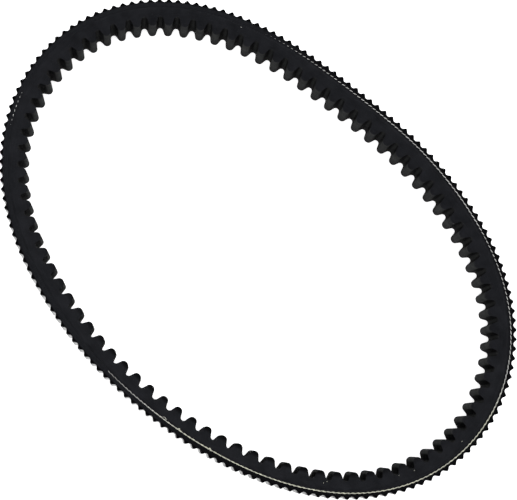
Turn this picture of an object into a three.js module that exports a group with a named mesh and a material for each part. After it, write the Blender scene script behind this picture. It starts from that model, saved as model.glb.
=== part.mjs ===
// Double-cog variable-speed V belt, lying on its side as one closed loop.
// Millimetres, +Z across the belt's width, +X along the loop's long axis.
//
// Heights are measured from the pitch line, where the tension cord runs: positive towards the
// back of the belt (outside the loop), negative towards the inner cogs. Distances run along the
// pitch line, anticlockwise seen from +Z. The layers are bonded in the real belt; here each is a
// solid of its own with a small clearance to the next.

import {
  Box3,
  BufferAttribute,
  BufferGeometry,
  Curve,
  ExtrudeGeometry,
  Group,
  Mesh,
  MeshStandardMaterial,
  Shape,
  ShapeUtils,
  Vector2,
  Vector3,
} from 'three';

// ---- Driving dimensions ------------------------------------------------------------------------

const PITCH_LENGTH = 1071;
const TOP_WIDTH = 35;
const FLANK_ANGLE = 13.1 * Math.PI / 180;
const CLEARANCE = 0.3;
const THIN_CLEARANCE = 0.25;

// The loop relaxes into an egg-shaped oval: [number of lobes, cosine share, sine share] of the
// mean radius.
const LOBES = [
  [2, 0.2101, 0],
  [3, -0.0033, 0.011],
  [4, 0.0192, -0.0035],
  [5, 0.0011, 0.001],
  [6, -0.0007, 0],
  [8, -0.001, -0.0008],
];

// Inner cogs: one pitch as [distance from the cog's middle, height], tip to gap root and back.
const INNER_COGS = 85;
const INNER_PITCH = PITCH_LENGTH / INNER_COGS;
const INNER_FIRST = 10.87;
const INNER_TIP = -13.65;
const INNER_SHOULDER = -12.5;
const INNER_ROOT_SIDE = -8.7;
const INNER_ROOT = -7.7;
const INNER_TIP_HALF = 2.6;
const INNER_ROOT_HALF = 1.6;

// Back cogs.
const BACK_COGS = 166;
const BACK_PITCH = PITCH_LENGTH / BACK_COGS;
const BACK_FIRST = 1.03;
const BACK_TIP = 4.15;
const BACK_VALLEY = 2.35;
const BACK_VALLEY_HALF = 1.5;

// Layers. The cord's winding starts at the upper flank, at one of the stations round the loop.
const INNER_FABRIC = 0.6;
const BACK_FABRIC = 0.4;
const CORD_DIAMETER = 1.1;
const CORD_LEAD = 2;
const CORD_START = 22;
const INNER_GUM = 0.6;
const OUTER_GUM = 0.25;
const CORD_SIDES = 4;
const STATIONS = 48;

// ---- The pitch line ----------------------------------------------------------------------------

const PATH_SAMPLES = 4800;

function ovalRadius(angle) {
  let radius = 1;
  for (const [lobes, cosine, sine] of LOBES) {
    radius += cosine * Math.cos(lobes * angle) + sine * Math.sin(lobes * angle);
  }
  return radius;
}

// The closed pitch line as points at small equal angles, with the length run up to each.
function samplePitchLine() {
  const points = [];
  for (let i = 0; i <= PATH_SAMPLES; i++) {
    const angle = 2 * Math.PI * i / PATH_SAMPLES;
    const radius = ovalRadius(angle);
    points.push(new Vector2(radius * Math.cos(angle), radius * Math.sin(angle)));
  }
  const runs = [0];
  for (let i = 1; i <= PATH_SAMPLES; i++) {
    runs.push(runs[i - 1] + points[i].distanceTo(points[i - 1]));
  }
  const scale = PITCH_LENGTH / runs[PATH_SAMPLES];
  return {
    points: points.map((point) => point.multiplyScalar(scale)),
    runs: runs.map((run) => run * scale),
  };
}

const pitchLine = samplePitchLine();

function pitchPoint(distance) {
  const run = ((distance % PITCH_LENGTH) + PITCH_LENGTH) % PITCH_LENGTH;
  let low = 0;
  let high = PATH_SAMPLES;
  while (high - low > 1) {
    const middle = (low + high) >> 1;
    if (pitchLine.runs[middle] <= run) low = middle;
    else high = middle;
  }
  const step = pitchLine.runs[high] - pitchLine.runs[low];
  const share = (run - pitchLine.runs[low]) / step;
  return pitchLine.points[low].clone().lerp(pitchLine.points[high], share);
}

// A point of the loop's plan at a distance along the pitch line and a height over it.
function planPoint(distance, height) {
  const reach = 0.5;
  const ahead = pitchPoint(distance + reach);
  const behind = pitchPoint(distance - reach);
  const along = ahead.sub(behind).normalize();
  const outward = new Vector2(along.y, -along.x);
  return pitchPoint(distance).addScaledVector(outward, height);
}

// ---- Outlines: closed lists of {distance, height} ----------------------------------------------

function repeatCogs(profile, count, pitch, first) {
  const outline = [];
  for (let cog = 0; cog < count; cog++) {
    for (const [offset, height] of profile) {
      outline.push({ distance: first + cog * pitch + offset, height });
    }
  }
  return outline;
}

const innerProfile = [
  [-INNER_TIP_HALF, INNER_SHOULDER],
  [0, INNER_TIP],
  [INNER_TIP_HALF, INNER_SHOULDER],
  [INNER_PITCH / 2 - INNER_ROOT_HALF, INNER_ROOT_SIDE],
  [INNER_PITCH / 2, INNER_ROOT],
  [INNER_PITCH / 2 + INNER_ROOT_HALF, INNER_ROOT_SIDE],
];

const backProfile = [
  [0, BACK_TIP],
  [BACK_PITCH / 2 - BACK_VALLEY_HALF, BACK_VALLEY],
  [BACK_PITCH / 2 + BACK_VALLEY_HALF, BACK_VALLEY],
];

// A cog profile moved sideways by an amount, up being positive, with mitred corners.
function offsetProfile(profile, pitch, amount) {
  const last = profile.length - 1;
  return profile.map(([offset, height], i) => {
    const before = i === 0 ? [profile[last][0] - pitch, profile[last][1]] : profile[i - 1];
    const after = i === last ? [profile[0][0] + pitch, profile[0][1]] : profile[i + 1];
    const arriving = new Vector2(offset - before[0], height - before[1]).normalize();
    const leaving = new Vector2(after[0] - offset, after[1] - height).normalize();
    const up = new Vector2(-arriving.y - leaving.y, arriving.x + leaving.x).normalize();
    const reach = amount / up.dot(new Vector2(-arriving.y, arriving.x));
    return [offset + up.x * reach, height + up.y * reach];
  });
}

function innerCogOutline(depthUnderFace) {
  const profile = offsetProfile(innerProfile, INNER_PITCH, depthUnderFace);
  return repeatCogs(profile, INNER_COGS, INNER_PITCH, INNER_FIRST);
}

function backCogOutline(depthUnderFace) {
  const profile = offsetProfile(backProfile, BACK_PITCH, -depthUnderFace);
  return repeatCogs(profile, BACK_COGS, BACK_PITCH, BACK_FIRST);
}

function evenOutline(height) {
  const outline = [];
  for (let i = 0; i < STATIONS; i++) {
    outline.push({ distance: PITCH_LENGTH * i / STATIONS, height });
  }
  return outline;
}

// ---- Solids ------------------------------------------------------------------------------------

// The sides are square to the back down to the pitch line, then lean in at the flank angle.
function halfWidth(height) {
  return TOP_WIDTH / 2 + Math.min(0, height) * Math.tan(FLANK_ANGLE);
}

// A ring between an outer and an inner outline, as wide as the belt is at each point's height.
function layerGeometry(outerOutline, innerOutline) {
  const corners = [...outerOutline, ...innerOutline];
  const plan = corners.map(({ distance, height }) => planPoint(distance, height));
  const outerPlan = plan.slice(0, outerOutline.length);
  const innerPlan = plan.slice(outerOutline.length);
  const positions = [];
  for (const side of [1, -1]) {
    corners.forEach(({ height }, i) => {
      positions.push(plan[i].x, plan[i].y, TOP_WIDTH / 2 + side * halfWidth(height));
    });
  }

  const lower = corners.length;
  const faces = [];
  for (const [a, b, c] of ShapeUtils.triangulateShape(outerPlan, [innerPlan])) {
    faces.push(a, b, c);
    faces.push(lower + a, lower + c, lower + b);
  }
  const addWall = (start, count, facesOut) => {
    for (let i = 0; i < count; i++) {
      const here = start + i;
      const next = start + (i + 1) % count;
      const [left, right] = facesOut ? [here, next] : [next, here];
      faces.push(left, lower + left, lower + right);
      faces.push(left, lower + right, right);
    }
  };
  addWall(0, outerOutline.length, true);
  addWall(outerOutline.length, innerOutline.length, false);

  const geometry = new BufferGeometry();
  geometry.setAttribute('position', new BufferAttribute(new Float32Array(positions), 3));
  geometry.setIndex(faces);
  geometry.computeVertexNormals();
  return geometry;
}

// One cord wound round and round the loop, a lead further down the belt's width at every turn.
class CordPath extends Curve {
  constructor(highest, steps) {
    super();
    this.highest = highest;
    this.turns = steps / STATIONS;
    this.arcLengthDivisions = steps * 4;
  }

  getPoint(share, target = new Vector3()) {
    const turn = share * this.turns;
    const plan = pitchPoint((CORD_START / STATIONS + turn) * PITCH_LENGTH);
    return target.set(plan.x, plan.y, this.highest - turn * CORD_LEAD);
  }
}

function cordGeometry() {
  const margin = CORD_DIAMETER / 2 + CLEARANCE;
  const steps = Math.floor((TOP_WIDTH - 2 * margin) / CORD_LEAD * STATIONS);
  const path = new CordPath(TOP_WIDTH - margin, steps);
  const section = new Shape();
  for (let i = 0; i < CORD_SIDES; i++) {
    const angle = 2 * Math.PI * i / CORD_SIDES;
    const x = CORD_DIAMETER / 2 * Math.cos(angle);
    const y = CORD_DIAMETER / 2 * Math.sin(angle);
    if (i === 0) section.moveTo(x, y);
    else section.lineTo(x, y);
  }
  section.closePath();
  return new ExtrudeGeometry(section, {
    steps,
    extrudePath: path,
    bevelEnabled: false,
  });
}

// ---- Materials ---------------------------------------------------------------------------------

const flankRubber = new MeshStandardMaterial({ color: 0x202226, roughness: 0.62, metalness: 0 });
const backRubber = new MeshStandardMaterial({ color: 0x141416, roughness: 0.55, metalness: 0 });
const gumRubber = new MeshStandardMaterial({ color: 0x1a1b1d, roughness: 0.7, metalness: 0 });
const cogFabric = new MeshStandardMaterial({ color: 0x2b2f2c, roughness: 0.85, metalness: 0 });
const backFabric = new MeshStandardMaterial({ color: 0x222325, roughness: 0.8, metalness: 0 });
const cordYarn = new MeshStandardMaterial({ color: 0xd8d4bc, roughness: 0.9, metalness: 0 });

// ---- The belt ----------------------------------------------------------------------------------

const belt = new Group();

function addPiece(name, geometry, material) {
  const piece = new Mesh(geometry, material);
  piece.name = name;
  belt.add(piece);
}

const cordRadius = CORD_DIAMETER / 2;
const innerGumTop = -cordRadius - THIN_CLEARANCE;
const innerGumFoot = innerGumTop - INNER_GUM;
const outerGumFoot = cordRadius + THIN_CLEARANCE;
const outerGumTop = outerGumFoot + OUTER_GUM;

addPiece(
  'inner_cog_fabric',
  layerGeometry(innerCogOutline(INNER_FABRIC), innerCogOutline(0)),
  cogFabric,
);
addPiece(
  'compression_rubber',
  layerGeometry(evenOutline(innerGumFoot - CLEARANCE), innerCogOutline(INNER_FABRIC + CLEARANCE)),
  flankRubber,
);
addPiece(
  'inner_adhesion_gum',
  layerGeometry(evenOutline(innerGumTop), evenOutline(innerGumFoot)),
  gumRubber,
);
addPiece('tension_cord', cordGeometry(), cordYarn);
addPiece(
  'outer_adhesion_gum',
  layerGeometry(evenOutline(outerGumTop), evenOutline(outerGumFoot)),
  gumRubber,
);
addPiece(
  'back_rubber',
  layerGeometry(backCogOutline(BACK_FABRIC + CLEARANCE), evenOutline(outerGumTop + THIN_CLEARANCE)),
  backRubber,
);
addPiece(
  'back_fabric',
  layerGeometry(backCogOutline(0), backCogOutline(BACK_FABRIC)),
  backFabric,
);

// The origin is under the middle of the loop's own box.
const middle = new Box3().setFromObject(belt).getCenter(new Vector3());
belt.position.set(-middle.x, -middle.y, 0);

export default belt;
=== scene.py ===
"""Double-cog variable-speed V belt, lying on its side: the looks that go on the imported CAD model.

Plan distances and heights are in millimetres. A distance runs along the belt's pitch line, anticlockwise
seen from above, and a height is measured from the pitch line: positive towards the back of the belt,
negative towards its inner cogs. Across is the place over the belt's width, from 0 on the floor.
"""

import math

import bpy
import numpy as np
from mathutils import Matrix, Vector


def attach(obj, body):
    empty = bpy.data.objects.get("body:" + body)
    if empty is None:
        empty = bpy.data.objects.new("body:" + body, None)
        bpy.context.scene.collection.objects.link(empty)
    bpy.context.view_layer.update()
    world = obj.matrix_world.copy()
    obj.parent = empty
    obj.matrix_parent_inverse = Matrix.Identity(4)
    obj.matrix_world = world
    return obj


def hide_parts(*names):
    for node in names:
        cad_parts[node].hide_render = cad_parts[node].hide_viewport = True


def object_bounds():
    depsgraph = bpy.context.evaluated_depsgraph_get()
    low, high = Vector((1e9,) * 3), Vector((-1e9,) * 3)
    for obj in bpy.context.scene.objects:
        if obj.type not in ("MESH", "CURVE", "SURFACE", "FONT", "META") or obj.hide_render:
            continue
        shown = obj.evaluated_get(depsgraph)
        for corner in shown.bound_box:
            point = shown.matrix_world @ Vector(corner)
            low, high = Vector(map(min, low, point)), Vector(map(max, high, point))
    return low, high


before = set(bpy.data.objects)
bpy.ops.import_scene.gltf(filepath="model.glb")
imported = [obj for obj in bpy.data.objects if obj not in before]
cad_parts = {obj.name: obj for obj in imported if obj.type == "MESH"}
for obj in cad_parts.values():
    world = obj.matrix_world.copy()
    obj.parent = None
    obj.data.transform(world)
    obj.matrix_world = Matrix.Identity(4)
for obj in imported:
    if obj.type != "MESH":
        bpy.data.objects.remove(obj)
cad_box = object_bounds()

MM = 0.001

# ---- Driving dimensions --------------------------------------------------------------------------

PITCH_LENGTH = 1071.0
TOP_WIDTH = 35.0
FLANK_ANGLE = math.radians(13.1)

# The loop relaxes into an egg-shaped oval: (number of lobes, cosine share, sine share) of the mean radius.
LOBES = (
    (2, 0.2101, 0.0),
    (3, -0.0033, 0.011),
    (4, 0.0192, -0.0035),
    (5, 0.0011, 0.001),
    (6, -0.0007, 0.0),
    (8, -0.001, -0.0008),
)

# Inner cogs: a nearly flat tip with round shoulders, straight sides and a round gap root.
INNER_COGS = 85
INNER_PITCH = PITCH_LENGTH / INNER_COGS
INNER_FIRST = 10.87
INNER_TIP = -14.0
INNER_ROOT = -7.65
TIP_FLAT_HALF = 0.3
TIP_RADIUS = 3.0
ROOT_RADIUS = 2.3
TIP_POINTS = 9
SIDE_SHARES = (0.33, 0.67)
ROOT_POINTS = 7

# Back cogs: narrow round ridges with wide hollow valleys between them.
BACK_COGS = 166
BACK_PITCH = PITCH_LENGTH / BACK_COGS
BACK_FIRST = 1.03
BACK_VALLEY = 2.5
BACK_RISE = 2.05
BACK_SHARPNESS = 2.75
BACK_POINTS = 18

# Layers, by thickness or by the height of a boundary.
INNER_FABRIC = 0.6
BACK_FABRIC = 0.4
INNER_GUM_FOOT = -1.4
OUTER_GUM_TOP = 1.05
GUM_COLUMNS = 960

# Edges that the air touches are rounded off, through a point at a share of the round.
EDGE_ROUND = 0.22
EDGE_SHARE = 0.3
EDGE_MOST = 0.45

# One thread of the facings' weave to the next.
CLOTH_PITCH = 0.9

# The cord: two plies, wound round and round the loop and sinking across the belt as it goes, until it runs
# out through the lower flank. The plies are ground off a little proud of a flank, and a piece of ply that is
# thinner or shorter than the least is left out. Between the first turn and the last plies, inside the belt,
# one round core stands for both plies.
CORD_LEAD = 2.0
CORD_LAY = 6.9
CORD_PROUD = 0.06
CORD_PAST_FLANK = 0.4
PLY_RADIUS = 0.24
PLY_REACH = 0.22
PLY_STEP = 0.4
PLY_SIDES = 10
PLY_THINNEST = 0.02
PLY_FEWEST_STEPS = 4
LAST_PLIES = 0.62 * PITCH_LENGTH
CORE_RADIUS = 0.42
CORE_STEP = 4.0
CORE_SIDES = 8
CORE_OVERLAP = 5.0

# Its first turn breaks through the upper flank: (distance, depth below the flank, height).
CORD_FIRST_TURN = (
    (785.0, -0.44, -0.6),
    (790.0, -0.24, -0.7),
    (840.0, -0.12, -0.8),
    (880.0, 0.0, -0.8),
    (920.0, 0.05, -0.3),
    (960.0, 0.10, 0.0),
    (1020.0, 0.12, 0.4),
    (1110.0, 0.12, 0.55),
    (1140.0, 0.27, 0.5),
    (1215.0, 0.32, 0.45),
    (1245.0, 0.22, 0.4),
    (1300.0, 0.24, 0.3),
    (1340.0, 0.29, 0.15),
    (1400.0, 0.38, 0.0),
    (1436.0, 0.46, 0.0),
    (1480.0, 0.60, -0.2),
    (1630.0, 0.50, -0.3),
    (1654.0, 0.38, -0.3),
    (1680.0, 0.55, -0.2),
    (1856.0, 2.0, 0.0),
)

# Loose filaments and lint on the cut flank: (distance, height, length along the belt, curl, radius).
FRAYS = (
    (838.0, -1.9, 3.4, 0.5, 0.14),
    (850.5, -1.3, 2.0, 0.6, 0.26),
    (875.5, -0.9, 3.0, 0.6, 0.42),
    (385.0, -3.3, 0.9, 0.2, 0.12),
    (958.5, -5.6, 0.6, 0.3, 0.07),
    (961.0, -7.0, 0.9, 0.2, 0.07),
    (1014.0, -7.0, 0.8, 0.2, 0.07),
    (1026.0, -6.6, 1.0, 0.2, 0.07),
    (1067.0, -4.4, 0.8, 0.3, 0.09),
)
FRAY_POINTS = 15
FRAY_SIDES = 8
FRAY_SUNK = 0.1
FRAY_RISE = 0.35
FRAY_WAVES = 1.1


# ---- The pitch line ------------------------------------------------------------------------------

def sample_pitch_line(samples=4800):
    """The closed pitch line as plan points in mm, with the length run up to each."""
    angle = np.linspace(0.0, 2.0 * np.pi, samples + 1)
    radius = np.ones_like(angle)
    for lobes, cosine, sine in LOBES:
        radius += cosine * np.cos(lobes * angle) + sine * np.sin(lobes * angle)
    points = np.stack([radius * np.cos(angle), radius * np.sin(angle)], axis=1)
    steps = np.linalg.norm(np.diff(points, axis=0), axis=1)
    runs = np.concatenate([[0.0], np.cumsum(steps)])
    scale = PITCH_LENGTH / runs[-1]
    return points * scale, runs * scale


LINE_POINTS, LINE_RUNS = sample_pitch_line()


def pitch_points(distance):
    """Plan points in mm, at distances along the pitch line."""
    run = np.mod(distance, PITCH_LENGTH)
    x = np.interp(run, LINE_RUNS, LINE_POINTS[:, 0])
    y = np.interp(run, LINE_RUNS, LINE_POINTS[:, 1])
    return np.stack([x, y], axis=-1)


def plan_points(distance, height):
    """Plan points in mm, at distances along the pitch line and heights over it."""
    reach = 0.5
    along = pitch_points(distance + reach) - pitch_points(distance - reach)
    along /= np.linalg.norm(along, axis=-1, keepdims=True)
    outward = np.stack([along[..., 1], -along[..., 0]], axis=-1)
    return pitch_points(distance) + outward * np.asarray(height)[..., None]


def loop_middle():
    """The middle of the loop's own box: the CAD model's origin is under it."""
    tips = plan_points(BACK_FIRST + BACK_PITCH * np.arange(BACK_COGS), BACK_VALLEY + BACK_RISE)
    own = (tips.min(axis=0) + tips.max(axis=0)) / 2
    cad = (np.array(cad_box[0][:2]) + np.array(cad_box[1][:2])) / 2 / MM
    return own - cad


LOOP_MIDDLE = loop_middle()


def belt_points(distance, height, across):
    """Points of the belt in metres, in the CAD model's frame."""
    plan = plan_points(np.asarray(distance, float), height) - LOOP_MIDDLE
    across = np.broadcast_to(across, plan.shape[:-1])
    return np.concatenate([plan, across[..., None]], axis=-1) * MM


def half_width(height):
    """Square to the back down to the pitch line, then leaning in at the flank angle."""
    return TOP_WIDTH / 2 + np.minimum(0.0, height) * math.tan(FLANK_ANGLE)


# ---- Outlines: arrays of (distance, height) round the loop -----------------------------------------

def inner_cog_profile():
    """One pitch of the inner cogs as (distance from the cog's middle, height), gap to gap."""
    tip = np.array([TIP_FLAT_HALF, INNER_TIP + TIP_RADIUS])
    root = np.array([INNER_PITCH / 2, INNER_ROOT - ROOT_RADIUS])
    between = root - tip
    lean = math.atan2(between[1], between[0])
    slope = lean + math.asin((TIP_RADIUS + ROOT_RADIUS) / np.linalg.norm(between))
    half = [(0.0, INNER_TIP)]
    for turn in np.linspace(0.0, slope, TIP_POINTS):
        half.append(tuple(tip + TIP_RADIUS * np.array([math.sin(turn), -math.cos(turn)])))
    side_foot = half[-1]
    root_start = root + ROOT_RADIUS * np.array([-math.sin(slope), math.cos(slope)])
    for share in SIDE_SHARES:
        half.append(tuple(np.array(side_foot) * (1 - share) + root_start * share))
    for turn in np.linspace(slope, 0.0, ROOT_POINTS):
        half.append(tuple(root + ROOT_RADIUS * np.array([-math.sin(turn), math.cos(turn)])))
    half = np.array(half)
    left = half[:0:-1] * np.array([-1.0, 1.0])
    return np.concatenate([left, half[:-1]])


def back_cog_profile():
    """One pitch of the back cogs as (distance from the cog's middle, height)."""
    share = np.linspace(-1.0, 1.0, BACK_POINTS + 1)[:-1]
    rise = BACK_RISE * np.cos(np.pi / 2 * share) ** BACK_SHARPNESS
    return np.stack([share * BACK_PITCH / 2, BACK_VALLEY + rise], axis=1)


def repeat_cogs(profile, count, pitch, first):
    """The outline round the loop of one cog after another, the first with its middle at a distance."""
    starts = first + pitch * np.arange(count)
    distance = (starts[:, None] + profile[None, :, 0]).ravel()
    height = np.tile(profile[:, 1], count)
    return np.stack([distance, height], axis=1)


def offset_outline(outline, amount):
    """The outline moved square to itself, up being positive."""
    ahead = np.roll(outline, -1, axis=0)
    behind = np.roll(outline, 1, axis=0)
    ahead[-1, 0] += PITCH_LENGTH
    behind[0, 0] -= PITCH_LENGTH
    along = ahead - behind
    along /= np.linalg.norm(along, axis=1, keepdims=True)
    up = np.stack([-along[:, 1], along[:, 0]], axis=1)
    return outline + up * amount


def arc_lengths(outline):
    """The length run along an outline up to each of its points, and all the way round."""
    closed = np.concatenate([outline, outline[:1] + [PITCH_LENGTH, 0.0]])
    steps = np.linalg.norm(np.diff(closed, axis=0), axis=1)
    runs = np.concatenate([[0.0], np.cumsum(steps)])
    return runs[:-1], runs[-1]


def level_outline(outline, height):
    """A level line with one point over each point of another outline."""
    return np.stack([outline[:, 0], np.full(len(outline), height)], axis=1)


# ---- Meshes --------------------------------------------------------------------------------------

def add_mesh(name, points, faces, corner_places=None):
    mesh = bpy.data.meshes.new(name)
    mesh.from_pydata(points.reshape(-1, 3).tolist(), [], faces.tolist())
    if corner_places is not None:
        places = mesh.attributes.new("belt", "FLOAT_VECTOR", "CORNER")
        places.data.foreach_set("vector", corner_places.astype(np.float32).ravel())
    mesh.polygons.foreach_set("use_smooth", np.ones(len(faces), bool))
    mesh.update()
    piece = bpy.data.objects.new(name, mesh)
    bpy.context.scene.collection.objects.link(piece)
    return piece


def grid_faces(columns, rows):
    """Quads of a grid that closes on itself both ways."""
    column = np.arange(columns)[:, None]
    row = np.arange(rows)[None, :]
    here = column * rows + row
    up = column * rows + (row + 1) % rows
    onward = ((column + 1) % columns) * rows + row
    onward_up = ((column + 1) % columns) * rows + (row + 1) % rows
    return np.stack([here, onward, onward_up, up], axis=-1).reshape(-1, 4)


def layer_section(outer, inner, flank_rows, round_outer, round_inner):
    """Each point of a layer's cross-section as (distance, height, across) at every column.

    The section crosses the upper flank from the inner outline to the outer one, and the lower flank back.
    Rounded sides are the ones that the air touches.
    """
    def flank_point(share, pull_in):
        line = inner * (1 - share) + outer * share
        return line, half_width(line[:, 1]) - pull_in

    half = []
    thickness = np.abs(outer[:, 1] - inner[:, 1])
    edge = np.minimum(EDGE_ROUND / np.maximum(thickness, 1e-6), EDGE_MOST)[:, None]
    if round_inner:
        half.append(flank_point(0 * edge, EDGE_ROUND))
        half.append(flank_point(EDGE_SHARE * edge, EDGE_SHARE * EDGE_ROUND))
        first = edge
    else:
        first = 0 * edge
    last = 1 - edge if round_outer else 1 + 0 * edge
    for i in range(flank_rows + 1):
        share = first + (last - first) * i / flank_rows
        half.append(flank_point(share, 0.0))
    if round_outer:
        half.append(flank_point(1 - EDGE_SHARE * edge, EDGE_SHARE * EDGE_ROUND))
        half.append(flank_point(1 + 0 * edge, EDGE_ROUND))

    middle = TOP_WIDTH / 2
    upper = [(line, middle + reach) for line, reach in half]
    lower = [(line, middle - reach) for line, reach in half[::-1]]
    rows = upper + lower
    return np.stack(
        [np.concatenate([line, across[:, None]], axis=1) for line, across in rows],
        axis=1,
    )


def corner_values(places, faces, turn):
    """The place at each corner of each face. A face that closes the loop runs on by one turn."""
    columns, rows = places.shape[:2]
    values = places.reshape(-1, 3)[faces].copy()
    closing = np.arange(len(faces)) // rows == columns - 1
    values[closing, 1:3, 0] += turn
    return values


def add_layer(name, outer, inner, flank_rows=3, round_outer=False, round_inner=False, cloth=None):
    """A closed ring between two outlines of the same number of points.

    Its belt attribute is each corner's (distance, height, across). On cloth the first of these counts the
    threads along the belt, apart from the cut edges, whose faces take the second material.
    """
    section = layer_section(outer, inner, flank_rows, round_outer, round_inner)
    points = belt_points(section[..., 0], section[..., 1], section[..., 2])
    faces = grid_faces(*section.shape[:2])
    places = corner_values(section, faces, PITCH_LENGTH)
    if cloth is None:
        return add_mesh(name, points, faces, places)

    runs, total = arc_lengths(cloth)
    threads = round(total / CLOTH_PITCH)
    threaded = section.copy()
    threaded[..., 0] = (runs * threads / total)[:, None]
    steps = abs(section[:, :, 2] - np.roll(section[:, :, 2], -1, axis=1))
    cut_edge = (steps < TOP_WIDTH / 4).ravel()
    woven = corner_values(threaded, faces, threads)
    piece = add_mesh(name, points, faces, np.where(cut_edge[:, None, None], places, woven))
    piece.data.polygons.foreach_set("material_index", cut_edge.astype(np.int32))
    return piece


def tube(path, radius, sides, low=-math.inf, high=math.inf):
    """A closed tube round an open path in metres, cut off level at two heights: its points and faces."""
    path = np.asarray(path, float)
    low = np.reshape(low, (-1, 1))
    high = np.reshape(high, (-1, 1))
    along = np.gradient(path, axis=0)
    along /= np.linalg.norm(along, axis=1, keepdims=True)
    side = np.cross(along, [0.0, 0.0, 1.0])
    side /= np.linalg.norm(side, axis=1, keepdims=True)
    over = np.cross(side, along)
    turns = 2 * np.pi * np.arange(sides) / sides
    middle = path[:, 2:]
    rise = np.clip(radius * np.sin(turns)[None, :], low - middle, high - middle)
    cut_half = np.sqrt(np.maximum(radius**2 - rise**2, 0.0))
    reach = np.clip(radius * np.cos(turns)[None, :], -cut_half, cut_half)
    ring = reach[..., None] * side[:, None, :] + rise[..., None] * over[:, None, :]
    points = (path[:, None, :] + ring).reshape(-1, 3)
    row = np.arange(len(path) - 1)[:, None] * sides
    here = row + np.arange(sides)[None, :]
    beside = row + (np.arange(sides)[None, :] + 1) % sides
    quads = np.stack([here, here + sides, beside + sides, beside], axis=-1).reshape(-1, 4)
    faces = quads.tolist()
    faces.append(list(range(sides)))
    faces.append([len(points) - 1 - i for i in range(sides)])
    return points, faces


def join_tubes(tubes):
    """The points and faces of several tubes as one list of each."""
    points = []
    faces = []
    count = 0
    for some_points, some_faces in tubes:
        points.append(some_points)
        faces += [[count + i for i in face] for face in some_faces]
        count += len(some_points)
    return np.concatenate(points), faces


def add_tubes(name, tubes, level=0.98):
    """Tubes as one mesh: round sides are shaded smooth, faces level to within a cosine flat."""
    points, faces = join_tubes(tubes)
    mesh = bpy.data.meshes.new(name)
    mesh.from_pydata(points.tolist(), [], faces)
    for face in mesh.polygons:
        face.use_smooth = abs(face.normal.z) < level
    mesh.update()
    piece = bpy.data.objects.new(name, mesh)
    bpy.context.scene.collection.objects.link(piece)
    return piece


# ---- Materials -----------------------------------------------------------------------------------

RUBBER_BLACK_AND_SHADE = (0.0012, 0.0012, 0.0016)
RUBBER_DARK = (0.0042, 0.0047, 0.0062)
RUBBER_LIGHT = (0.0118, 0.0124, 0.0152)

# The colour is darkened to black on the back cogs, and on two stretches of the loop: round the cord, where
# its first turn shows, where it is part the rubber's own darker tone and part painted shade, and on the tips
# of the inner cogs. A stretch has a distance as its middle, and fades in between two cosines of the angle
# away from it and between two heights.
BLACK_BACK_HEIGHTS = (1.7, 2.5)
BLACK_CORD_MIDDLE = 60.0
BLACK_CORD_COSINES = (-0.35, 0.05)
BLACK_CORD_HEIGHTS = (-1.2, 0.6)
BLACK_TIPS_MIDDLE = 870.0
BLACK_TIPS_COSINES = (0.35, 0.9)
BLACK_TIPS_HEIGHTS = (-12.2, -9.9)

# A facing's colour goes from its dark to its painted light over this much height.
LIGHTENS_OVER = 1.2

# Other looks change from one position in the frame to another, in mm. Far is y + FAR_SLANT x, and ahead is x
# - y: the facings are painted darker, as shade, on the far side, low across the belt next to the floor, and
# shine less ahead, where the cord is yellow. The cord is dusty next to its start.
FAR_SLANT = -0.5
SHADED_FAR = (20.0, 70.0)
SHADED_ACROSS = (0.0, 18.0)
DULL_AHEAD = (20.0, 180.0)
YELLOW_AHEAD = (140.0, 180.0)
DUSTY_AHEAD = (125.0, 170.0)
DUSTY_Y = (-100.0, -90.0)


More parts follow.
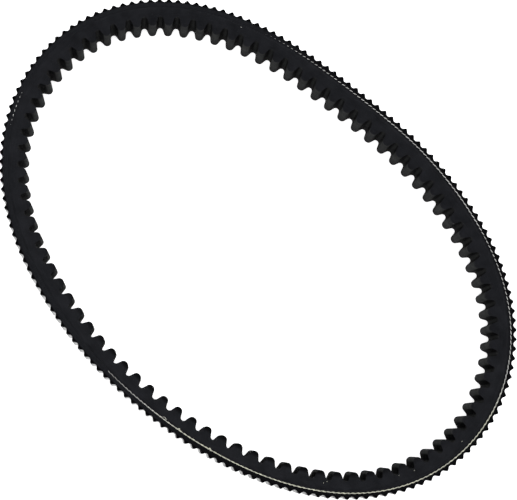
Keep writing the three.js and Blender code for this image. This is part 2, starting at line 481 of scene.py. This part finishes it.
class Shader:
    """A few short words for building a node material."""

    def __init__(self, name):
        self.material = bpy.data.materials.new(name)
        self.material.use_nodes = True
        self.nodes = self.material.node_tree.nodes
        self.links = self.material.node_tree.links
        self.surface = self.nodes["Principled BSDF"]

    def set(self, socket, value):
        if isinstance(value, bpy.types.NodeSocket):
            self.links.new(value, socket)
        else:
            socket.default_value = value

    def place(self):
        """Where a point is on the belt: its distance, height and place across."""
        node = self.nodes.new("ShaderNodeAttribute")
        node.attribute_name = "belt"
        return node.outputs["Vector"]

    def position(self):
        """Where a point is in the frame, in mm."""
        node = self.nodes.new("ShaderNodeTexCoord")
        return self.scaled(node.outputs["Object"], (1 / MM, 1 / MM, 1 / MM))

    def scaled(self, vector, scale):
        node = self.nodes.new("ShaderNodeVectorMath")
        node.operation = "MULTIPLY"
        self.set(node.inputs[0], vector)
        node.inputs[1].default_value = scale
        return node.outputs["Vector"]

    def split(self, vector):
        node = self.nodes.new("ShaderNodeSeparateXYZ")
        self.set(node.inputs[0], vector)
        return node.outputs["X"], node.outputs["Y"], node.outputs["Z"]

    def combine(self, x, y, z):
        node = self.nodes.new("ShaderNodeCombineXYZ")
        for socket, value in zip(node.inputs, (x, y, z)):
            self.set(socket, value)
        return node.outputs["Vector"]

    def maths(self, operation, first, second=0.0, third=0.0):
        node = self.nodes.new("ShaderNodeMath")
        node.operation = operation
        for socket, value in zip(node.inputs, (first, second, third)):
            self.set(socket, value)
        return node.outputs["Value"]

    def noise(self, vector, scale, detail=2.0, roughness=0.5):
        node = self.nodes.new("ShaderNodeTexNoise")
        self.set(node.inputs["Vector"], vector)
        node.inputs["Scale"].default_value = scale
        node.inputs["Detail"].default_value = detail
        node.inputs["Roughness"].default_value = roughness
        return node.outputs["Fac"]

    def remap(self, value, low, high, to_low=0.0, to_high=1.0):
        node = self.nodes.new("ShaderNodeMapRange")
        self.set(node.inputs["Value"], value)
        node.inputs["From Min"].default_value = low
        node.inputs["From Max"].default_value = high
        node.inputs["To Min"].default_value = to_low
        node.inputs["To Max"].default_value = to_high
        return node.outputs["Result"]

    def blend(self, share, first, second):
        node = self.nodes.new("ShaderNodeMix")
        node.data_type = "RGBA"
        self.set(node.inputs["Factor"], share)
        self.set(node.inputs["A"], first if not isinstance(first, tuple) else (*first, 1.0))
        self.set(node.inputs["B"], second if not isinstance(second, tuple) else (*second, 1.0))
        return node.outputs["Result"]

    def bump(self, height, depth, strength=1.0, under=None):
        """Relief of a depth in mm, over the relief of an earlier bump."""
        node = self.nodes.new("ShaderNodeBump")
        self.set(node.inputs["Height"], height)
        node.inputs["Distance"].default_value = depth * MM
        node.inputs["Strength"].default_value = strength
        if under is not None:
            self.set(node.inputs["Normal"], under)
        return node.outputs["Normal"]

    def finish(self, colour, roughness, normal, specular=0.5):
        self.set(self.surface.inputs["Base Color"], colour)
        self.set(self.surface.inputs["Roughness"], roughness)
        self.set(self.surface.inputs["Normal"], normal)
        self.set(self.surface.inputs["Specular IOR Level"], specular)
        return self.material


def stretch(shader, distance, middle, out, full):
    """A share that is 1 along a stretch of the loop about its middle, fading between two cosines."""
    offset = shader.maths("SUBTRACT", distance, middle)
    turn = shader.maths("MULTIPLY", offset, 2 * math.pi / PITCH_LENGTH)
    return shader.remap(shader.maths("COSINE", turn), out, full)


def blackened(shader, colour, black, specular):
    """Darkens the colour to black on the back cogs, round the cord where that shows, and on some inner tips;
    round the cord this is part the rubber's own tone and part painted shade.

    Returns its colour and its specular level, which is lower where it is black.
    """
    distance, height, _ = shader.split(shader.place())
    # Round the cord the darkening is part the rubber's own darker tone, part painted shade.
    beside_cord = stretch(shader, distance, BLACK_CORD_MIDDLE, *BLACK_CORD_COSINES)
    over_foot = shader.remap(height, *BLACK_CORD_HEIGHTS, 0.0, 0.8)
    round_cord = shader.maths("MULTIPLY", beside_cord, over_foot)
    on_back = shader.remap(height, *BLACK_BACK_HEIGHTS)
    near_tips = stretch(shader, distance, BLACK_TIPS_MIDDLE, *BLACK_TIPS_COSINES)
    at_tip = shader.remap(height, *BLACK_TIPS_HEIGHTS, 1.0, 0.0)
    on_tips = shader.maths("MULTIPLY", near_tips, at_tip)
    share = shader.maths("MAXIMUM", shader.maths("MAXIMUM", round_cord, on_back), on_tips)
    level = shader.remap(share, 0.0, 1.0, specular, 0.4 * specular)
    return shader.blend(share, colour, black), level


def ground_rubber(name, dark, light, black, roughness, specular):
    """Rubber with chopped fibre in it, cut and ground: fine grain, drawn out along the belt."""
    shader = Shader(name)
    position = shader.position()
    x, y, _ = shader.split(position)
    _, height, _ = shader.split(shader.place())
    drawn = shader.scaled(shader.combine(x, y, height), (0.12, 0.12, 3.0))
    streaks = shader.noise(drawn, 1.0, detail=4.0, roughness=0.65)
    cloud = shader.noise(position, 0.09, detail=3.0)
    grain = shader.noise(position, 3.2, detail=3.0, roughness=0.7)
    fibres = shader.remap(shader.noise(position, 2.1, detail=1.0), 0.69, 0.76, 0.0, 0.7)
    shade = shader.maths("MULTIPLY_ADD", streaks, 0.4, shader.maths("MULTIPLY", cloud, 0.6))
    base = shader.blend(shader.remap(shade, 0.35, 0.65), dark, light)
    fibre = tuple(2.4 * part for part in light)
    colour = shader.blend(fibres, base, fibre)
    colour, specular = blackened(shader, colour, black, specular)
    relief = shader.bump(streaks, 0.05, 0.5)
    relief = shader.bump(grain, 0.06, 0.6, under=relief)
    gloss = shader.remap(shade, 0.3, 0.7, roughness - 0.06, roughness + 0.06)
    return shader.finish(colour, gloss, relief, specular)


def floor_shade(shader, position, across):
    """Painted shade: a share that is 1 on the far side of the loop next to the floor, and fades away from
    there.
    """
    x, y, _ = shader.split(position)
    far = shader.remap(shader.maths("MULTIPLY_ADD", x, FAR_SLANT, y), *SHADED_FAR)
    low = shader.remap(across, *SHADED_ACROSS, 1.0, 0.0)
    return shader.maths("MULTIPLY", far, low)


def place_ahead(shader, position):
    """How far a point is towards the end of the loop where x is high and y low."""
    x, y, _ = shader.split(position)
    return shader.maths("SUBTRACT", x, y)


def woven_cloth(name, dark, light, darkest_height, lightest_from, roughness, relief_depth, specular):
    """Rubbered cloth: threads over and under each other, seen through a skin of rubber.

    The colour is dark round one height and painted lighter away from it: on the inner cogs the dark is
    painted shade on the walls of the gaps, and the lighter tips and roots are painted light; on the back the
    lighter hollows between the ridges are a painted reflection. It is painted darker, as shade, low across
    the belt on the far side of the loop. It shines less towards one end of the loop.
    """
    shader = Shader(name)
    run, height, across = shader.split(shader.place())
    warp = shader.maths("SINE", shader.maths("MULTIPLY", run, 2 * math.pi))
    weft = shader.maths("SINE", shader.maths("MULTIPLY", across, 2 * math.pi / CLOTH_PITCH))
    weave = shader.maths("MULTIPLY", warp, weft)
    position = shader.position()
    wear = shader.noise(position, 0.15, detail=4.0, roughness=0.6)
    grain = shader.noise(position, 4.0, detail=2.0)
    lit = shader.remap(shader.maths("MULTIPLY_ADD", weave, 0.2, wear), 0.3, 0.75, 0.4, 1.0)
    # Painted shade and light: the colour is dark round one height and painted lighter away from it.
    away = shader.maths("ABSOLUTE", shader.maths("SUBTRACT", height, darkest_height))
    painted_light_share = shader.remap(away, lightest_from - LIGHTENS_OVER, lightest_from)
    # Painted shade next to the floor on the far side of the loop darkens the facing.
    clean_and_unshaded = shader.maths("SUBTRACT", 1.0, floor_shade(shader, position, across))
    share = shader.maths("MULTIPLY", lit, shader.maths("MULTIPLY", painted_light_share, clean_and_unshaded))
    colour = shader.blend(share, dark, light)
    relief = shader.bump(weave, relief_depth, 0.6)
    relief = shader.bump(grain, 0.05, 0.6, under=relief)
    gloss = shader.remap(wear, 0.3, 0.7, roughness - 0.07, roughness + 0.07)
    level = shader.remap(place_ahead(shader, position), *DULL_AHEAD, specular, 0.2 * specular)
    return shader.finish(colour, gloss, relief, level)


def gum_material(name, dark, light, black, roughness, specular):
    """Smooth unfilled rubber round the cord."""
    shader = Shader(name)
    position = shader.position()
    cloud = shader.noise(position, 0.4, detail=3.0)
    grain = shader.noise(position, 5.0, detail=2.0)
    colour, specular = blackened(shader, shader.blend(cloud, dark, light), black, specular)
    relief = shader.bump(grain, 0.03, 0.5)
    gloss = shader.remap(cloud, 0.3, 0.7, roughness - 0.05, roughness + 0.05)
    return shader.finish(colour, gloss, relief, specular)


def yarn_material(name, clean_and_unshaded, yellowed, dirty):
    """Twisted yarn: yellowed at one end of the loop, and greyed with dust in places and at its start."""
    shader = Shader(name)
    position = shader.position()
    dirt = shader.noise(position, 0.35, detail=4.0, roughness=0.7)
    filaments = shader.noise(shader.scaled(position, (1.0, 1.0, 4.0)), 6.0, detail=3.0)
    _, y, _ = shader.split(position)
    ahead = place_ahead(shader, position)
    yellow = shader.remap(ahead, *YELLOW_AHEAD)
    behind = shader.remap(ahead, *DUSTY_AHEAD, 1.0, 0.0)
    start = shader.maths("MULTIPLY", behind, shader.remap(y, *DUSTY_Y, 1.0, 0.0))
    share = shader.maths("MAXIMUM", shader.remap(dirt, 0.42, 0.72), start)
    colour = shader.blend(share, shader.blend(yellow, clean_and_unshaded, yellowed), dirty)
    relief = shader.bump(filaments, 0.08, 0.7)
    material = shader.finish(colour, 0.8, relief, specular=0.2)
    shader.surface.inputs["Sheen Weight"].default_value = 0.2
    return material


RUBBER = {"dark": RUBBER_DARK, "light": RUBBER_LIGHT, "black": RUBBER_BLACK_AND_SHADE}

flank_rubber = ground_rubber("flank_rubber", **RUBBER, roughness=0.66, specular=0.09)
back_rubber = ground_rubber("back_rubber", **RUBBER, roughness=0.62, specular=0.06)
gum_rubber = gum_material("gum_rubber", **RUBBER, roughness=0.60, specular=0.08)
# Painted shade on the walls of the gaps between the inner cogs, painted light on their tips and roots.
cog_fabric = woven_cloth(
    "cog_fabric",
    dark=(0.0010, 0.0011, 0.0013),
    light=(0.0310, 0.0318, 0.0318),
    darkest_height=-9.95,
    lightest_from=2.75,
    roughness=0.9,
    relief_depth=0.10,
    specular=0.03,
)
# Painted reflection: the hollows between the back ridges are painted lighter than the ridges.
back_fabric = woven_cloth(
    "back_fabric",
    dark=(0.0012, 0.0012, 0.0015),
    light=(0.0062, 0.0062, 0.0066),
    darkest_height=4.3,
    lightest_from=1.6,
    roughness=0.22,
    relief_depth=0.04,
    specular=0.5,
)
cord_yarn = yarn_material(
    "cord_yarn",
    clean_and_unshaded=(0.62, 0.62, 0.60),
    yellowed=(0.62, 0.62, 0.49),
    dirty=(0.28, 0.28, 0.26),
)


# ---- The belt's pieces -----------------------------------------------------------------------------

def settle(piece, materials, node):
    """Give a piece its materials and its slot, and let it stand for a CAD node."""
    for material in materials:
        piece.data.materials.append(material)
    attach(piece, "root")
    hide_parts(node)


inner_face = repeat_cogs(inner_cog_profile(), INNER_COGS, INNER_PITCH, INNER_FIRST)
inner_cloth_foot = offset_outline(inner_face, INNER_FABRIC)
back_face = repeat_cogs(back_cog_profile(), BACK_COGS, BACK_PITCH, BACK_FIRST)
back_cloth_foot = offset_outline(back_face, -BACK_FABRIC)


def add_cog_facing():
    piece = add_layer(
        "cog_facing", inner_cloth_foot, inner_face, flank_rows=1, round_inner=True, cloth=inner_face
    )
    settle(piece, (cog_fabric, flank_rubber), "inner_cog_fabric")


def add_compression_body():
    roof = level_outline(inner_face, INNER_GUM_FOOT)
    piece = add_layer("compression_body", roof, inner_cloth_foot, flank_rows=6)
    settle(piece, (flank_rubber,), "compression_rubber")


def add_gum_bands():
    distance = np.linspace(0.0, PITCH_LENGTH, GUM_COLUMNS, endpoint=False)
    middle = np.stack([distance, np.zeros(GUM_COLUMNS)], axis=1)
    inner_band = add_layer("inner_gum_band", middle, level_outline(middle, INNER_GUM_FOOT))
    settle(inner_band, (gum_rubber,), "inner_adhesion_gum")
    outer_band = add_layer("outer_gum_band", level_outline(middle, OUTER_GUM_TOP), middle)
    settle(outer_band, (gum_rubber,), "outer_adhesion_gum")


def add_back_body():
    floor_line = level_outline(back_face, OUTER_GUM_TOP)
    piece = add_layer("back_body", back_cloth_foot, floor_line, flank_rows=2)
    settle(piece, (back_rubber,), "back_rubber")


def add_back_facing():
    piece = add_layer(
        "back_facing", back_face, back_cloth_foot, flank_rows=1, round_outer=True, cloth=back_face
    )
    settle(piece, (back_fabric, back_rubber), "back_fabric")


def cord_place(distance):
    """The height and the place across of the cord's middle, at a distance that counts on past each turn."""
    distances, depths, heights = zip(*CORD_FIRST_TURN)
    depth = np.interp(distance, distances, depths)
    height = np.interp(distance, distances, heights)
    depth = depth + CORD_LEAD * np.maximum(0.0, distance - distances[-1]) / PITCH_LENGTH
    return height, TOP_WIDTH / 2 + half_width(height) - depth


def plies(start, end):
    """The two plies of a stretch of cord, ground off level with the flanks."""
    distance = np.arange(start, end, PLY_STEP)
    height, across = cord_place(distance)
    high_cut = TOP_WIDTH / 2 + half_width(height) + CORD_PROUD
    low_cut = TOP_WIDTH - high_cut
    tubes = []
    for ply in range(2):
        turn = 2 * np.pi * (distance / CORD_LAY + ply / 2)
        ply_height = height + PLY_REACH * np.cos(turn)
        ply_across = across + PLY_REACH * np.sin(turn)
        left = np.minimum(high_cut - ply_across, ply_across - low_cut) + PLY_RADIUS > PLY_THINNEST
        ends = np.flatnonzero(np.diff(np.concatenate([[0], left.astype(int), [0]])))
        for first, last in zip(ends[::2], ends[1::2]):
            if last - first < PLY_FEWEST_STEPS:
                continue
            run = slice(first, last)
            path = belt_points(distance[run], ply_height[run], ply_across[run])
            cuts = (low_cut[run] * MM, high_cut[run] * MM)
            tubes.append(tube(path, PLY_RADIUS * MM, PLY_SIDES, *cuts))
    return tubes


def fray(distance, height, length, curl, radius):
    """A filament that stands out of the cut flank and curls back down into it."""
    share = np.linspace(0.0, 1.0, FRAY_POINTS)
    bow = np.sin(np.pi * share)
    run = distance + length * (share - 0.5)
    heights = height + curl * bow * np.cos(2 * np.pi * FRAY_WAVES * share)
    across = half_width(heights) + TOP_WIDTH / 2 - FRAY_SUNK + FRAY_RISE * bow
    return tube(belt_points(run, heights, across), radius * MM, FRAY_SIDES)


def add_cord():
    """The plies show where the winding breaks through a flank. Inside, the cord is one round core."""
    start = CORD_FIRST_TURN[0][0]
    turned, depth, _ = CORD_FIRST_TURN[-1]
    end = turned + (TOP_WIDTH + CORD_PAST_FLANK - depth) / CORD_LEAD * PITCH_LENGTH
    shown_again = end - LAST_PLIES
    middle = np.arange(turned - CORE_OVERLAP, shown_again + CORE_OVERLAP, CORE_STEP)
    core = belt_points(middle, *cord_place(middle))
    tubes = plies(start, turned)
    tubes += plies(shown_again, end)
    tubes.append(tube(core, CORE_RADIUS * MM, CORE_SIDES))
    tubes += [fray(*one) for one in FRAYS]
    piece = add_tubes("tension_cord_winding", tubes)
    settle(piece, (cord_yarn,), "tension_cord")


add_cog_facing()
add_compression_body()
add_gum_bands()
add_cord()
add_back_body()
add_back_facing()


# ---- Floor, light and camera -----------------------------------------------------------------------

FLOOR_HALF = 4.0
FLOOR_COLOURS = ((0.86, 0.86, 0.86), (0.89, 0.89, 0.89))
FLOOR_GLOW = 0.95

# The room's light, from the horizon up: (z of the direction, colour).
ROOM_LIGHT = ((0.1, (1.0, 1.0, 1.0, 1.0)), (0.75, (0.12, 0.12, 0.13, 1.0)))

SOFTBOXES = {"softbox_left": 160, "softbox_right": 20, "softbox_back": 90, "softbox_front": 270}
SOFTBOX_ELEVATION = 38
SOFTBOX_DISTANCE = 2.4
SOFTBOX_SIZE = 1.6
SOFTBOX_POWER = 20

CAMERA_PLACE = Vector((31.28, -151.02, 1045.18)) * MM
CAMERA_TARGET = Vector((-34.82, -7.76, 17.5)) * MM
CAMERA_ROLL = math.radians(17.749)
CAMERA_SENSOR = 36.0
CAMERA_LENS = 101.91
CAMERA_SHIFT = (0.0967, -0.0464)
CAMERA_CLIP = (0.05, 50.0)


def add_floor():
    """A white light table, which leaves hardly any shadow."""
    corners = np.array([[-1.0, -1.0, 0.0], [1.0, -1.0, 0.0], [1.0, 1.0, 0.0], [-1.0, 1.0, 0.0]])
    floor = add_mesh("floor", FLOOR_HALF * corners, np.array([[0, 1, 2, 3]]))
    shader = Shader("floor_white")
    cloud = shader.noise(shader.position(), 0.002, detail=2.0)
    colour = shader.blend(cloud, *FLOOR_COLOURS)
    shader.set(shader.surface.inputs["Base Color"], colour)
    shader.set(shader.surface.inputs["Emission Color"], colour)
    shader.surface.inputs["Emission Strength"].default_value = FLOOR_GLOW
    shader.surface.inputs["Roughness"].default_value = 0.9
    floor.data.materials.append(shader.material)


def add_world():
    """A white room whose ceiling is dim: bright at the horizon and darker overhead."""
    world = bpy.data.worlds.new("studio")
    bpy.context.scene.world = world
    world.use_nodes = True
    nodes = world.node_tree.nodes
    links = world.node_tree.links
    place = nodes.new("ShaderNodeTexCoord")
    parts = nodes.new("ShaderNodeSeparateXYZ")
    links.new(place.outputs["Generated"], parts.inputs[0])
    ramp = nodes.new("ShaderNodeValToRGB")
    links.new(parts.outputs["Z"], ramp.inputs["Fac"])
    for stop, (position, colour) in zip(ramp.color_ramp.elements, ROOM_LIGHT):
        stop.position = position
        stop.color = colour
    background = nodes["Background"]
    links.new(ramp.outputs["Color"], background.inputs["Color"])
    background.inputs["Strength"].default_value = 1.0


def add_softbox(name, azimuth):
    """A square lamp aimed at the middle of the loop."""
    lamp = bpy.data.lights.new(name, "AREA")
    lamp.shape = "SQUARE"
    lamp.size = SOFTBOX_SIZE
    lamp.energy = SOFTBOX_POWER
    softbox = bpy.data.objects.new(name, lamp)
    turn = math.radians(azimuth)
    rise = math.radians(SOFTBOX_ELEVATION)
    softbox.location = (
        SOFTBOX_DISTANCE * math.cos(rise) * math.cos(turn),
        SOFTBOX_DISTANCE * math.cos(rise) * math.sin(turn),
        SOFTBOX_DISTANCE * math.sin(rise),
    )
    aim = -Vector(softbox.location)
    softbox.rotation_euler = aim.to_track_quat("-Z", "Y").to_euler()
    bpy.context.scene.collection.objects.link(softbox)


def add_camera():
    camera = bpy.data.cameras.new("camera")
    camera.sensor_width = CAMERA_SENSOR
    camera.sensor_fit = "HORIZONTAL"
    camera.lens = CAMERA_LENS
    camera.shift_x, camera.shift_y = CAMERA_SHIFT
    camera.clip_start, camera.clip_end = CAMERA_CLIP
    holder = bpy.data.objects.new("camera", camera)
    forward = (CAMERA_TARGET - CAMERA_PLACE).normalized()
    level_right = forward.cross(Vector((0, 0, 1))).normalized()
    level_up = level_right.cross(forward)
    right = level_right * math.cos(CAMERA_ROLL) + level_up * math.sin(CAMERA_ROLL)
    up = level_up * math.cos(CAMERA_ROLL) - level_right * math.sin(CAMERA_ROLL)
    turn = Matrix((right, up, -forward)).transposed().to_4x4()
    holder.matrix_world = Matrix.Translation(CAMERA_PLACE) @ turn
    bpy.context.scene.collection.objects.link(holder)
    bpy.context.scene.camera = holder


add_floor()
add_world()
for softbox_name, softbox_azimuth in SOFTBOXES.items():
    add_softbox(softbox_name, softbox_azimuth)
add_camera()
bpy.context.scene.view_settings.view_transform = "Standard"
